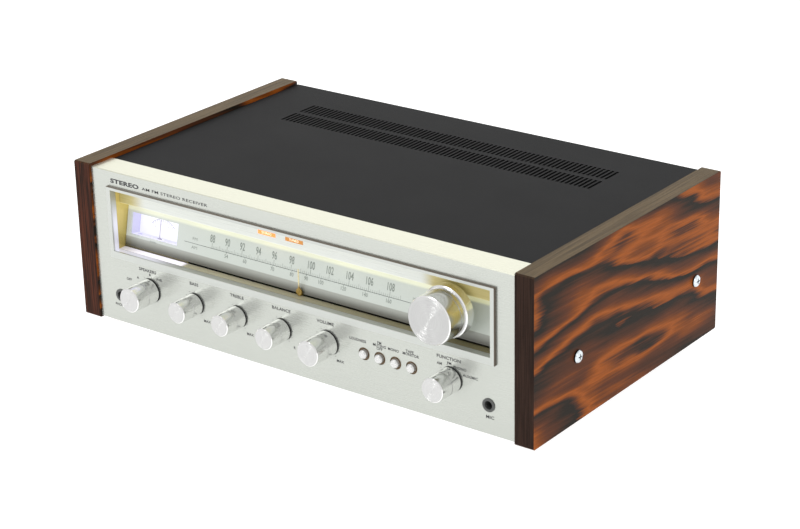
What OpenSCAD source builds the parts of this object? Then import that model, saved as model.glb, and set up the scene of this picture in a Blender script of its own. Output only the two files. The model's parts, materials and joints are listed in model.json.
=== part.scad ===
// Stereo receiver, silver faceplate between two wood side panels. Units mm, +Z up.
// Origin: middle of the whole width and depth, on the resting plane of the feet.
// Modules are drawn with the wood front edges at Y = 0; place() then centres the depth.

/* [Cabinet] */
// Overall width across the wood side panels
body_w = 430; // [380:1:480]
// Depth of the wood side panels
body_d = 256; // [220:1:320]
// Height of the wood side panels
wood_h = 130; // [110:1:160]
// Thickness of each wood side panel
wood_t = 16; // [12:0.5:20]
// Height of the feet below the panels
foot_h = 12; // [8:0.5:18]
// Radius of each foot
foot_r = 13; // [9:0.5:18]

/* [Faceplate and dial] */
// Front plane of the faceplate behind the wood edges
plate_y = 2; // [1:0.5:4]
// Thickness of the faceplate extrusion
plate_t = 3; // [2:0.5:4]
// Depth of the top return of the faceplate
return_d = 23.5; // [18:0.5:28]
// Outer width of the raised dial bezel
bezel_w = 364.6; // [360:0.2:366]
// Bottom of the bezel above the resting plane
bezel_z0 = 68; // [67:0.5:69]
// Top of the bezel above the resting plane
bezel_z1 = 127; // [125:0.5:129]
// Width of the bezel rim at the sides, outside its inner wall
rim_side = 2.9; // [2.5:0.1:3.5]
// Width of the bezel rim along the top, outside its inner wall
rim_top = 1.9; // [1.7:0.1:2.6]
// Width of the bezel rim along the bottom, outside its inner wall
rim_low = 4.8; // [4.4:0.1:5]
// How far the bezel stands proud of the faceplate
bezel_proud = 2; // [1:0.1:2.4]
// Lean of the dial panel away from vertical
dial_tilt = 12; // [8:1:14]
// Resting position of the dial pointer
pointer_x = -1; // [-4:0.5:2]
// Width of the signal meter window
meter_w = 48.8; // [44:0.2:49]
// Height of the signal meter window
meter_h = 17.6; // [16:0.2:18]

/* [Controls] */
// Height of the row of small knobs and push buttons
knob_z = 47.3; // [46:0.1:48]
// Pitch of the bass, treble, balance and volume knobs
knob_pitch = 43.25; // [42.5:0.05:43.5]
// Radius of the tone and balance knobs
tone_r = 8.8; // [8.4:0.1:9.4]
// Radius of the speaker selector knob
select_r = 10; // [9.5:0.1:11]
// Radius of the volume knob
volume_r = 10.1; // [9.5:0.1:11]
// Radius of the control shafts
shaft_r = 3; // [2.8:0.1:3.1]
// Radius of the tuning knob skirt
tuning_r = 19.8; // [19:0.1:20.5]
// Radius of the push button caps
button_r = 3.4; // [3.2:0.1:4.2]
// Pitch of the push buttons
button_pitch = 14.3; // [13.9:0.1:14.5]
// Radius of the plug hole in the front jacks
jack_r = 3.25; // [3.2:0.05:3.3]

/* [Cover and rear] */
// Thickness of the sheet steel
sheet = 1.2; // [1:0.1:1.6]
// Number of vent slots in each row
vent_count = 75; // [40:1:80]
// Pitch of the vent slots
vent_pitch = 4; // [3.8:0.1:4.2]
// Length of the ferrite antenna rod
antenna_l = 150; // [120:1:180]

/* [Hidden] */
$fn = 64;
mid_y = 125.8;
in_w = body_w/2 - wood_t;
front_w = in_w - 0.3;
top_z = foot_h + wood_h - 2.4;
low_z = foot_h + 1.4;
plate_b = plate_y + plate_t;
sub_y = plate_y + 6;
floor_z = foot_h + 2.4;
rear_y = body_d - 3;
ctrl_x = -97.6;
bass_x = ctrl_x;
treble_x = ctrl_x + knob_pitch;
balance_x = ctrl_x + 2*knob_pitch;
volume_x = ctrl_x + 3*knob_pitch;
speaker_x = -144;
function_x = 143.4;
tune_x = 141;
tune_z = 99.5;
button_x = 66.2;
jack_x = 176;
jack_z = 36;
open_x = bezel_w/2 - rim_side;
open_z0 = bezel_z0 + rim_low;
open_z1 = bezel_z1 - rim_top;
sill_z = open_z0 + 2.4;
dial_y = 14;
dial_z = 80.6;
meter_x = -149.6;
meter_lz = 12.9;
rail_y = 21;
rail_z = 77;
lens_x = [-28.8, -2.6];
drum_x = 70;
drum_z = 94;
drum_y = 36;
screw_y = [55.5, 222];
screw_z = foot_h + 51.4;
foot_x = 150;
foot_y = [62, 214];
knobs_x = [speaker_x, bass_x, treble_x, balance_x, volume_x, function_x];

module yc(x, y, z, r, h) {
  translate([x, y, z]) rotate([-90, 0, 0]) cylinder(r = r, h = h);
}
module xc(x, y, z, r, h) {
  translate([x, y, z]) rotate([0, 90, 0]) cylinder(r = r, h = h);
}
module bx(x0, x1, y0, y1, z0, z1) {
  translate([x0, y0, z0]) cube([x1 - x0, y1 - y0, z1 - z0]);
}
module tilt() {
  translate([0, dial_y, dial_z]) rotate([-dial_tilt, 0, 0]) children();
}

module place() {
  translate([0, -mid_y, 0]) children();
}

// Wood side panel, extruded across its thickness with small chamfers along the long edges
module wood(x0) {
  difference() {
    translate([x0, 0, 0]) rotate([90, 0, 90]) linear_extrude(wood_t)
      polygon([[1, foot_h], [body_d - 1, foot_h], [body_d, foot_h + 1],
        [body_d, foot_h + wood_h - 1], [body_d - 1, foot_h + wood_h], [1, foot_h + wood_h],
        [0, foot_h + wood_h - 1], [0, foot_h + 1]]);
    for (y = screw_y) xc(x0 - 1, y, screw_z, 2.3, wood_t + 2);
  }
}
module panel_left() {
  color("saddlebrown") wood(-body_w/2);
}
module panel_right() {
  color("saddlebrown") wood(body_w/2 - wood_t);
}
// Pan head screws with cross recess, two per side, held by the chassis sides
module panel_screws() {
  color("silver") for (s = [-1, 1]) for (y = screw_y)
    translate([s*body_w/2, y, screw_z]) rotate([0, s*90, 0]) difference() {
      union() {
        rotate_extrude()
          polygon([[0, 0], [4.8, 0], [4.8, 1], [4.1, 1.9], [2.6, 2.4], [0, 2.5]]);
        translate([0, 0, -wood_t - 5]) cylinder(r = 2, h = wood_t + 5.5);
      }
      translate([-2.2, -0.5, 1]) cube([4.4, 1, 3]);
      translate([-0.5, -2.2, 1]) cube([1, 4.4, 3]);
    }
}
// Aluminium extrusion: front wall with a deep top return and a short bottom lip
module faceplate() {
  color("gainsboro") difference() {
    translate([-front_w, 0, 0]) rotate([90, 0, 90]) linear_extrude(2*front_w)
      polygon([[plate_y, low_z], [plate_y + 10, low_z], [plate_y + 10, low_z + 1.5],
        [plate_b, low_z + 1.5], [plate_b, top_z - 2.5], [plate_y + return_d, top_z - 2.5],
        [plate_y + return_d, top_z], [plate_y + 0.6, top_z], [plate_y, top_z - 0.6]]);
    bx(-open_x, open_x, plate_y - 1, plate_b + 1, open_z0, open_z1);
    for (x = knobs_x) yc(x, plate_y - 1, knob_z, 5, plate_t + 2);
    for (i = [0:3]) yc(button_x + i*button_pitch, plate_y - 1, knob_z, 5, plate_t + 2);
    for (s = [-1, 1]) yc(s*jack_x, plate_y - 1, jack_z, 4.6, plate_t + 2);
  }
}
// Raised frame around the dial opening, lining the opening with its inner walls
module bezel() {
  o = bezel_w/2;
  color("lightgray") difference() {
    union() {
      bx(-o, o, plate_y - bezel_proud, plate_y, bezel_z0, bezel_z1);
      bx(-open_x, open_x, plate_y, plate_b + 1, open_z0, open_z1);
    }
    bx(-open_x + 0.8, open_x - 0.8, -2, 12, open_z0 + 0.8, open_z1 - 0.8);
  }
}
// Box behind the opening: floor in front of the pointer slot, end walls and roof
module dial_housing() {
  y0 = plate_b + 1.2;
  color("goldenrod") difference() {
    bx(-open_x - 2, open_x + 2, y0, 33, open_z0 - 1.4, open_z1 + 3);
    translate([-open_x + 0.8, 0, 0]) rotate([90, 0, 90]) linear_extrude(2*open_x - 1.6)
      polygon([[0, open_z0 + 0.8], [13.2, open_z0 + 0.8], [13.2, open_z0 - 5], [40, open_z0 - 5],
        [40, open_z1], [0, open_z1]]);
    bx(-open_x + 4, open_x - 4, 13.2, 40, open_z0 - 5, open_z1 + 1.6);
    yc(tune_x, 12, tune_z, 5, 30);
  }
  color("goldenrod") bx(-open_x + 0.8, -113, 12.8, 14.2, open_z0 + 0.4, sill_z - 0.1);
}
// Leaning dial plate with the meter window and, below it, the sill above the pointer slot
module dial_panel() {
  w = open_x - 1.2;
  color("lightcyan") difference() {
    translate([-w, 0, 0]) rotate([90, 0, 90]) linear_extrude(2*w)
      polygon([[12.9, sill_z], [dial_y, dial_z], [dial_y + tan(dial_tilt)*33, dial_z + 33],
        [dial_y + tan(dial_tilt)*33 + 1.5, dial_z + 33], [dial_y + 1.5, dial_z],
        [14.4, sill_z]]);
    tilt() bx(meter_x - meter_w/2, meter_x + meter_w/2, -1, 4,
      meter_lz - meter_h/2, meter_lz + meter_h/2);
    yc(tune_x, 10, tune_z, 5, 20);
  }
}
// Strip above the dial plate that carries the two indicator lenses
module dial_header() {
  color("gainsboro") difference() {
    bx(-open_x + 1, open_x - 1, 10, 11.5, 111.2, open_z1 - 0.2);
    for (x = lens_x) bx(x - 8.4, x + 8.4, 9, 13, 116.1, 119.5);
  }
}
module lens(x) {
  bx(x - 8.3, x + 8.3, 9.8, 11.5, 116.2, 119.4);
  bx(x - 7, x + 7, 11.5, 13, 116.5, 119.1);
}
module stereo_lens() {
  color("orangered") lens(lens_x[0]);
}
module tuned_lens() {
  color("darkorange") lens(lens_x[1]);
}
// Festoon lamps that light the dial plate from above
module dial_lamps() {
  color("lightyellow") for (x = [-150, -95, -30, 40, 110]) {
    xc(x - 10, 17, 118, 2.6, 20);
    xc(x - 14, 17, 118, 3, 4);
    xc(x + 10, 17, 118, 3, 4);
  }
}
// Reflector strip with clips behind the lamps
module lamp_strip() {
  color("silver") {
    bx(-168, 128, 23, 24, 112, 122.6);
    for (x = [-150, -95, -30, 40, 110]) for (s = [-12, 12])
      bx(x + s - 0.6, x + s + 0.6, 19.9, 23, 116, 120);
  }
}
// Signal meter case, set against the back of the dial plate
module meter_body() {
  color("whitesmoke") tilt() difference() {
    bx(meter_x - 26.6, meter_x + 26.6, 1.6, 15, -1.6, 24.6);
    bx(meter_x - meter_w/2, meter_x + meter_w/2, 0, 11.2,
      meter_lz - meter_h/2, meter_lz + meter_h/2);
    bx(meter_x - 22, meter_x + 22, 5, 11.2, -0.4, meter_lz + meter_h/2);
  }
}
// Printed card at the back of the meter with its moving coil boss
module meter_scale() {
  color("white") tilt() {
    bx(meter_x - 24, meter_x + 24, 10.2, 11.2, 4.4, 21.4);
    yc(meter_x, 8.4, 2.4, 0.8, 2.8);
  }
}
module meter_needle() {
  color("orangered") tilt() difference() {
    union() {
      yc(meter_x, 6.4, 2.4, 2.2, 1.6);
      bx(meter_x - 0.2, meter_x + 0.2, 6.9, 7.3, 2.6, 19);
    }
    yc(meter_x, 6, 2.4, 0.86, 1);
  }
}
// Pointer: thin needle, drop shaped base and the carriage that runs on the rail
module pointer() {
  x = pointer_x;
  color("goldenrod") {
    bx(x - 0.45, x + 0.45, 11.1, 11.7, 77.5, 95);
    yc(x, 11, open_z0 + 4.2, 2.6, 1);
    translate([x, 12, 0]) rotate([90, 0, 0]) linear_extrude(1)
      polygon([[-2.5, open_z0 + 4.9], [2.5, open_z0 + 4.9], [0.45, 80.5], [-0.45, 80.5]]);
    bx(x - 1.2, x + 1.2, 11.2, 18, open_z0 + 1.1, sill_z - 0.4);
    difference() {
      bx(x - 5, x + 5, 17.5, 24.5, open_z0 + 1, 80.5);
      xc(x - 6, rail_y, rail_z, 1.57, 12);
    }
  }
}
// Rod for the carriage between two posts on the stud bar, clear of the meter case
module pointer_rail() {
  color("silver") {
    xc(-122.4, rail_y, rail_z, 1.5, open_x - 1 + 122.4);
    bx(-122.4, -119, rail_y + 1.2, 30.4, 74, 80);
    bx(open_x - 5, open_x - 1, rail_y + 1.2, 33, 74, 80);
  }
}
// Turned knob body: rear band, groove, front band, chamfered rim, blind bore
module knob(x, z, r0, r1, y0, l) {
  translate([x, y0, z]) rotate([90, 0, 0]) rotate_extrude()
    polygon([[shaft_r, 0], [r0, 0], [r0, 0.45*l], [r0 - 0.5, 0.45*l], [r0 - 0.5, 0.45*l + 0.6],
      [r0, 0.45*l + 0.6], [r1, l - 0.6], [r1 - 0.6, l], [0, l], [0, l - 5],
      [shaft_r, l - 5]]);
}
module tuning_knob() {
  color("silver") translate([tune_x, 7, tune_z]) rotate([90, 0, 0]) rotate_extrude()
    polygon([[shaft_r, 0], [tuning_r - 0.8, 0], [tuning_r, 0.8], [tuning_r, 8], [18.9, 9],
      [18.3, 9], [18.3, 13], [17.8, 13], [17.8, 13.8], [18.3, 13.8], [18.3, 26.2],
      [17.6, 27], [0, 27], [0, 20], [shaft_r, 20]]);
}
module tuning_shaft() {
  color("silver") yc(tune_x, -13, tune_z, shaft_r, 57);
}
module flywheel() {
  color("dimgray") difference() {
    yc(tune_x, 35, tune_z, 17, 8);
    yc(tune_x, 34, tune_z, shaft_r, 10);
  }
}
// Upright plate on the chassis floor that carries the tuning shaft in a long bushing
module tuning_bracket() {
  color("silver") difference() {
    union() {
      bx(20, 166, 33.4, 34.4, floor_z + sheet, 126);
      bx(20, 166, 34.4, 44, floor_z + sheet, floor_z + 2*sheet);
      yc(tune_x, 26, tune_z, 4.6, 7.4);
    }
    yc(tune_x, 20, tune_z, shaft_r + 0.05, 30);
    yc(drum_x, 20, drum_z, 7, 20);
    bx(button_x - 12, button_x + 3*button_pitch + 12, 30, 36, knob_z - 14, knob_z + 12);
  }
}
// Cord drum on the capacitor shaft
module dial_drum() {
  color("ivory") {
    difference() {
      translate([drum_x, drum_y, drum_z]) rotate([-90, 0, 0]) rotate_extrude()
        polygon([[3, 0], [9, 0], [9, 2.5], [25, 2.5], [29, 0.5], [29, 1.5], [27.7, 3],
          [27.7, 4], [29, 5.5], [29, 6.5], [25, 4.5], [9, 4.5], [9, 7], [3, 7]]);
      for (a = [0:60:300]) yc(drum_x + 17*cos(a), drum_y, drum_z + 17*sin(a), 4, 8);
    }
    yc(drum_x, 34.8, drum_z, 3, 12.6);
  }
}
module tuning_capacitor() {
  color("silver") difference() {
    union() {
      bx(drum_x - 20, drum_x + 20, 45, 46.5, 72, 116);
      bx(drum_x - 20, drum_x + 20, 84, 85.5, 72, 116);
      bx(drum_x - 20, drum_x + 20, 46.5, 84, 72, 74);
      for (i = [0:7]) bx(drum_x - 16, drum_x + 16, 50 + 4*i, 51 + 4*i, 74, 106);
      for (s = [-1, 1]) for (y = [48, 82]) translate([drum_x + s*15, y, floor_z + sheet])
        cylinder(r = 3, h = 72 - floor_z - sheet);
    }
    yc(drum_x, 44, drum_z, 3.05, 5);
  }
}
module pulley(x) {
  translate([x, 25.4, rail_z]) rotate([-90, 0, 0]) rotate_extrude()
    polygon([[1.56, 0], [6, 0], [6, 1], [5, 1.6], [5, 2.4], [6, 3], [6, 4], [1.56, 4]]);
}
module pulley_left() {
  color("ivory") pulley(-112);
}
module pulley_right() {
  color("ivory") pulley(168);
}
// Studs for the pulleys, hanging on a long bar between the housing ends
module pulley_studs() {
  color("silver") {
    for (x = [-112, 168]) yc(x, 25, rail_z, 1.5, 5.4);
    bx(-open_x + 5, open_x - 5, 30.4, 32, 74.6, 79.4);
  }
}
module shaft(x) {
  yc(x, -12, knob_z, shaft_r, 32);
}
module speakers_knob() {
  color("silver") knob(speaker_x, knob_z, select_r, select_r - 0.3, 0.6, 23);
}
module speakers_shaft() {
  color("gray") shaft(speaker_x);
}
module bass_knob() {
  color("silver") knob(bass_x, knob_z, tone_r, tone_r - 0.4, 0.6, 20.6);
}
module bass_shaft() {
  color("gray") shaft(bass_x);
}
module treble_knob() {
  color("silver") knob(treble_x, knob_z, tone_r, tone_r - 0.4, 0.6, 20.6);
}
module treble_shaft() {
  color("gray") shaft(treble_x);
}
module balance_knob() {
  color("silver") knob(balance_x, knob_z, tone_r, tone_r - 0.4, 0.6, 20.6);
}
module balance_shaft() {
  color("gray") shaft(balance_x);
}
module volume_knob() {
  color("silver") knob(volume_x, knob_z, volume_r, volume_r - 0.3, 0.6, 22.6);
}
module volume_shaft() {
  color("gray") shaft(volume_x);
}
module function_knob() {
  color("silver") knob(function_x, knob_z, 9.6, 9.3, 0.6, 21.5);
}
module function_shaft() {
  color("gray") shaft(function_x);
}
// Four potentiometers and two rotary switches with their threaded bushings
module controls() {
  color("dimgray") for (x = knobs_x) difference() {
    union() {
      yc(x, plate_y + 1, knob_z, 4.4, sub_y + sheet - plate_y);
      if (abs(x) > 140) yc(x, sub_y + sheet, knob_z, 13.5, 22);
      else bx(x - 8.5, x + 8.5, sub_y + sheet, sub_y + 15, knob_z - 11, knob_z + 9);
      bx(x - 6, x + 6, sub_y + 15, sub_y + 16, knob_z - 14, knob_z - 8);
    }
    yc(x, 0, knob_z, shaft_r + 0.05, 20.5);
  }
}
module control_nuts() {
  color("gold") for (x = knobs_x) translate([x, plate_b + 0.5, knob_z]) rotate([-90, 0, 0])
    difference() {
      cylinder(r = 7, h = sub_y - plate_b - 0.5, $fn = 6);
      translate([0, 0, -1]) cylinder(r = 4.4, h = 8);
    }
}
// Push button: round cap with a softened rim and a stem into the switch block
module button(i) {
  translate([button_x + i*button_pitch, 4, knob_z]) rotate([90, 0, 0]) rotate_extrude()
    polygon([[0, -18], [1.8, -18], [1.8, 0], [button_r, 0], [button_r, 4],
      [button_r - 0.9, 5], [0, 5]]);
}
module button_loudness() {
  color("whitesmoke") button(0);
}
module button_muting() {
  color("whitesmoke") button(1);
}
module button_mono() {
  color("whitesmoke") button(2);
}
module button_tape() {
  color("whitesmoke") button(3);
}
module switch_block() {
  color("darkolivegreen") difference() {
    union() {
      for (i = [0:3]) bx(button_x + i*button_pitch - 5, button_x + i*button_pitch + 5,
        sub_y + sheet + 1.5, 38, knob_z - 6, knob_z + 6);
      bx(button_x - 8, button_x + 3*button_pitch + 8, sub_y + sheet, sub_y + sheet + 1.5,
        knob_z - 8, knob_z + 8);
      bx(button_x - 8, button_x + 3*button_pitch + 8, 14, 40, knob_z - 7.6, knob_z - 6);
    }
    for (i = [0:3]) yc(button_x + i*button_pitch, 5, knob_z, 1.86, 24);
  }
}
// Headphone jack on the left, microphone jack on the right
module front_jacks() {
  color("dimgray") for (s = [-1, 1]) difference() {
    union() {
      yc(s*jack_x, plate_y - 0.6, jack_z, 5.2, 0.6);
      yc(s*jack_x, plate_y, jack_z, 4.6, sub_y + sheet - plate_y);
      bx(s*jack_x - 8, s*jack_x + 8, sub_y + sheet, 38, jack_z - 8, jack_z + 8);
    }
    yc(s*jack_x, 0, jack_z, jack_r, 34);
  }
}
// Steel plate behind the lower half of the faceplate
module subchassis() {
  color("silver") difference() {
    union() {
      bx(-in_w + 2, in_w - 2, sub_y, sub_y + sheet, floor_z + sheet, 68.5);
      bx(-in_w + 2, in_w - 2, sub_y + sheet, sub_y + 12, floor_z + sheet,
        floor_z + 2*sheet);
    }
    for (x = knobs_x) yc(x, 6, knob_z, 4.4, 6);
    for (i = [0:3]) yc(button_x + i*button_pitch, 6, knob_z, 2.4, 6);
    for (s = [-1, 1]) yc(s*jack_x, 6, jack_z, 4.6, 6);
    bx(-in_w, -60, sub_y + sheet, 30, floor_z, floor_z + sheet + 0.01);
  }
}
// Steel tray: floor, sides and cooling slots below the heat sink
module chassis() {
  w = in_w - 0.2;
  color("silver") difference() {
    bx(-w, w, 12.6, rear_y, floor_z, 134);
    bx(-w + sheet, w - sheet, 12, rear_y + 1, floor_z + sheet, 140);
    for (i = [0:11]) bx(-160 + 16*i, -152 + 16*i, 90, 130, 10, 20);
    for (s = [-1, 1]) for (y = screw_y) xc(s*w - 3, y, screw_z, 2, 6);
    for (s = [-1, 1]) for (y = foot_y) translate([s*foot_x, y, 10]) cylinder(r = 2, h = 8);
  }
}
// Black top cover with two rows of vent slots
module top_cover() {
  w = in_w - 1.6;
  y0 = plate_y + return_d + 0.4;
  color("black") difference() {
    bx(-w, w, y0, rear_y + 2.4, top_z - 16, top_z - 0.4);
    bx(-w + sheet, w - sheet, y0 - 1, rear_y + sheet + 0.4, 0, top_z - 0.4 - sheet);
    for (i = [0:vent_count - 1]) for (y = [173.5, 198])
      bx((i - (vent_count - 1)/2)*vent_pitch - 1.1, (i - (vent_count - 1)/2)*vent_pitch + 1.1,
        y, y + 19.2, 120, 150);
  }
}
// Rear panel with holes for the sockets
module rear_panel() {
  color("dimgray") difference() {
    bx(-in_w + 2, in_w - 2, rear_y, rear_y + sheet, floor_z, top_z - 17);
    for (i = [0:4]) for (z = [40, 58])
      translate([-150 + 18*i, rear_y - 1, z]) rotate([-90, 0, 0]) cylinder(r = 3.4, h = 4);
  }
}
// Pin jacks, ten alike
module rca_jacks() {
  color("gold") for (i = [0:4]) for (z = [40, 58]) difference() {
    union() {
      yc(-150 + 18*i, rear_y + sheet, z, 4.1, 9);
      yc(-150 + 18*i, rear_y - 4, z, 3.4, 4 + sheet);
      yc(-150 + 18*i, rear_y + sheet, z, 6, 1.2);
    }
    yc(-150 + 18*i, rear_y, z, 1.6, 20);
  }
}
// Screw terminals: antenna strip, speaker strip, ground post, fuse cap and cord inlet
module rear_terminals() {
  y = rear_y + sheet;
  color("black") {
    bx(-40, 20, y, y + 5, 78, 92);
    bx(20.5, 92, y, y + 5, 34, 62);
    for (i = [0:3]) yc(-32 + 15*i, y + 5, 85, 3.6, 5);
    for (i = [0:3]) for (z = [41, 55]) yc(30 + 17*i, y + 5, z, 4.4, 7);
    yc(-150, y, 85, 4, 9);
    yc(150, y, 85, 7, 8);
    yc(178, y, 36, 7, 9);
  }
}
module ac_outlets() {
  y = rear_y + sheet;
  color("black") for (x = [116, 150]) difference() {
    bx(x - 14, x + 14, y, y + 4, 48, 70);
    for (s = [-1, 1]) bx(x + s*6.4 - 0.9, x + s*6.4 + 0.9, y + 1, y + 8, 55, 63);
  }
}
// Ferrite rod antenna on a swivel boss
module am_antenna() {
  x = -100;
  color("black") difference() {
    union() {
      xc(x + 6, 267, 106, 4.8, antenna_l);
      xc(x + 10.5, 267, 106, 6.5, 12);
      xc(x + antenna_l - 8, 267, 106, 6.5, 14);
      translate([x, 267, 101]) cylinder(r = 7, h = 10);
    }
    translate([x, 267, 90]) cylinder(r = 2.56, h = 30);
  }
}
module antenna_bracket() {
  y = rear_y + sheet;
  color("dimgray") {
    bx(-107, -93, y, y + 1.5, 90, 118);
    bx(-107, -93, y + 1.5, 273, 98, 100.7);
    bx(-107, -93, y + 1.5, 273, 111.3, 114);
    translate([-100, 267, 99]) cylinder(r = 2.5, h = 14);
  }
}
// Power transformer: laminated core with two coil ends and mounting feet
module transformer() {
  z0 = floor_z + sheet;
  color("dimgray") {
    bx(100, 172, 150, 210, z0, z0 + 3);
    bx(106, 166, 156, 204, z0 + 3, z0 + 62);
    bx(116, 156, 146, 156, z0 + 14, z0 + 52);
    bx(116, 156, 204, 214, z0 + 14, z0 + 52);
  }
}
module filter_caps() {
  color("navy") for (x = [50, 80]) translate([x, 225, floor_z + 9.6])
    cylinder(r = 12.5, h = 45);
}
// Finned heat sink with its row of output transistors
module heatsink() {
  z0 = floor_z + sheet;
  color("dimgray") {
    bx(-165, 35, 178, 182, z0, 118);
    for (i = [0:24]) bx(-165 + 8*i, -163 + 8*i, 182, 206, z0 + 12, 118);
    for (x = [-130, -90, -40, 0]) bx(x - 8, x + 8, 173, 178, 70, 90);
  }
}
// Main amplifier board on posts and tuner board
module circuit_boards() {
  z0 = floor_z + 8;
  color("green") {
    bx(-180, 45, 60, 170, z0, z0 + 1.6);
    for (x = [-172, 37]) for (y = [66, 164]) translate([x, y, floor_z + sheet])
      cylinder(r = 3, h = z0 - floor_z - sheet);
    bx(100, 180, 60, 138, z0, z0 + 1.6);
    for (x = [106, 174]) for (y = [66, 132]) translate([x, y, floor_z + sheet])
      cylinder(r = 3, h = z0 - floor_z - sheet);
    bx(35, 95, 210, 240, z0, z0 + 1.6);
    for (x = [40, 90]) translate([x, 214, floor_z + sheet])
      cylinder(r = 3, h = z0 - floor_z - sheet);
    for (x = [-150, -110, -70, -30, 10]) for (y = [80, 110, 146])
      translate([x, y, z0 + 1.6]) cylinder(r = 5, h = 14);
    for (x = [115, 160]) for (y = [75, 120]) bx(x - 6, x + 6, y - 6, y + 6,
      z0 + 1.6, z0 + 15);
  }
}
// Four moulded feet, each with its screw into the chassis floor
module feet() {
  color("black") for (s = [-1, 1]) for (y = foot_y) translate([s*foot_x, y, 0]) {
    rotate_extrude() polygon([[4, 0], [foot_r - 2, 0], [foot_r, 4], [foot_r, floor_z],
      [0, floor_z], [0, 5], [4, 5]]);
    cylinder(r = 2, h = floor_z + sheet + 3);
  }
}

place() panel_left();
place() panel_right();
place() panel_screws();
place() faceplate();
place() bezel();
place() dial_housing();
place() dial_panel();
place() dial_header();
place() stereo_lens();
place() tuned_lens();
place() dial_lamps();
place() lamp_strip();
place() meter_body();
place() meter_scale();
place() meter_needle();
place() pointer();
place() pointer_rail();
place() tuning_knob();
place() tuning_shaft();
place() flywheel();
place() tuning_bracket();
place() dial_drum();
place() tuning_capacitor();
place() pulley_left();
place() pulley_right();
place() pulley_studs();
place() speakers_knob();
place() speakers_shaft();
place() bass_knob();
place() bass_shaft();
place() treble_knob();
place() treble_shaft();
place() balance_knob();
place() balance_shaft();
place() volume_knob();
place() volume_shaft();
place() function_knob();
place() function_shaft();
place() controls();
place() control_nuts();
place() button_loudness();
place() button_muting();
place() button_mono();
place() button_tape();
place() switch_block();
place() front_jacks();
place() subchassis();
place() chassis();
place() top_cover();
place() rear_panel();
place() rca_jacks();
place() rear_terminals();
place() ac_outlets();
place() am_antenna();
place() antenna_bracket();
place() transformer();
place() filter_caps();
place() heatsink();
place() circuit_boards();
place() feet();
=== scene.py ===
"""Stereo receiver: finishes, lettering, small trim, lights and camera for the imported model."""
import json
import math

import bmesh
import bpy
from bpy.props import FloatProperty, FloatVectorProperty, PointerProperty
from mathutils import Matrix, Vector


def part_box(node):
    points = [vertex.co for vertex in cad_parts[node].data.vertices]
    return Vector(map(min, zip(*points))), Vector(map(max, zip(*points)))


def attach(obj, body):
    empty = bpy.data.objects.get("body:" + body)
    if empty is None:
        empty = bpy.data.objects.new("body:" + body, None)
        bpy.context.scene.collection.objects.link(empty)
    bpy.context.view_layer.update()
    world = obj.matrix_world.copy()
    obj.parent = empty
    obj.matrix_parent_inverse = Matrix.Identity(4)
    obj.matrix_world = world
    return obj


bl_info = {
    "name": "Stereo receiver",
    "version": (1, 0, 0),
    "blender": (4, 5, 0),
    "location": "View3D > Sidebar > Receiver",
    "description": "Finishes and trim of a silver-faced stereo receiver",
    "category": "Object",
}

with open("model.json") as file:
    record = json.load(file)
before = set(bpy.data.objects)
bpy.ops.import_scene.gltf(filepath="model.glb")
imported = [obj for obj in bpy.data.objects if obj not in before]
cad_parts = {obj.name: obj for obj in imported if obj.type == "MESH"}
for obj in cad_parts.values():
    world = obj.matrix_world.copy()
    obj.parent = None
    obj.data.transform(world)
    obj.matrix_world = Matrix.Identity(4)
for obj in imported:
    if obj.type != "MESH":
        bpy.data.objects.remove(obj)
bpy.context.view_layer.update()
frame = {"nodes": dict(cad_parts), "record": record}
MM = 0.001
FACE_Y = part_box("faceplate")[0].y / MM
REAR_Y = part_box("rear_panel")[1].y / MM
SILL_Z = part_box("dial_panel")[0].z / MM
SILL_TOP = SILL_Z + 7.3
TILT = math.radians(12)     # lean of the dial plate
PLATE_Y = FACE_Y + 12       # foot of the dial plate
PLATE_Z = 80.6
PLATE_FOOT = (80.0, 84.0)   # heights between which its shaded foot fades out
PLATE_HEAD = (102.2, 104.6)  # heights between which its lit top edge fades in
SCALE_LINE = 10.0           # height of the dial's line, measured up the plate
JACK_Z = 36                 # height of the front jacks
CAPITAL = 0.70              # height of a capital, as a share of the font's size
INK = 0.04                  # thickness of printed lettering
BLACK = (0.0, 0.0, 0.0)
WHITE = (1.0, 1.0, 1.0)
BUTTONS = ("button_loudness", "button_muting", "button_mono", "button_tape")


def centre(node):
    """Middle of a node's box, in millimetres."""
    low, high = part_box(node)
    return [(a + b) / 2 / MM for a, b in zip(low, high)]


KNOBS = {n: centre(n + "_knob") for n in
         ("speakers", "bass", "treble", "balance", "volume", "function", "tuning")}


# ---------------------------------------------------------------- sizes and colours

def colour(name, note, value):
    """A colour setting."""
    return FloatVectorProperty(name=name, description=note, default=value, size=3,
                               min=0.0, max=1.0, subtype="COLOR")


class ReceiverCabinetSettings(bpy.types.PropertyGroup):
    """Colours of the cabinet."""
    veneer: colour("Veneer", "Warm colour of the rosewood veneer", (0.315, 0.080, 0.010))
    streak: colour("Streak", "Dark heartwood streaks", (0.013, 0.011, 0.008))
    edge_front: colour("Front edge", "Front edges of the wood panels", (0.031, 0.016, 0.011))
    edge_top: colour("Top edge", "Top edges of the wood panels", (0.120, 0.084, 0.043))
    plate: colour("Faceplate", "Satin anodised faceplate", (0.50, 0.518, 0.480))
    # Painted light: colour of the faceplate's upward faces, lighter and warmer than its front as
    # if lit from above
    lit_top: colour("Top return", "Top return of the faceplate", (0.71, 0.71, 0.58))
    cover: colour("Cover", "Black paint of the top cover", (0.0085, 0.0085, 0.0088))
    edge_round: FloatProperty(name="Edge rounding", description="Rounding of sheet edges",
                              default=0.0003, min=0.0, max=0.002, unit="LENGTH")


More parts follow.
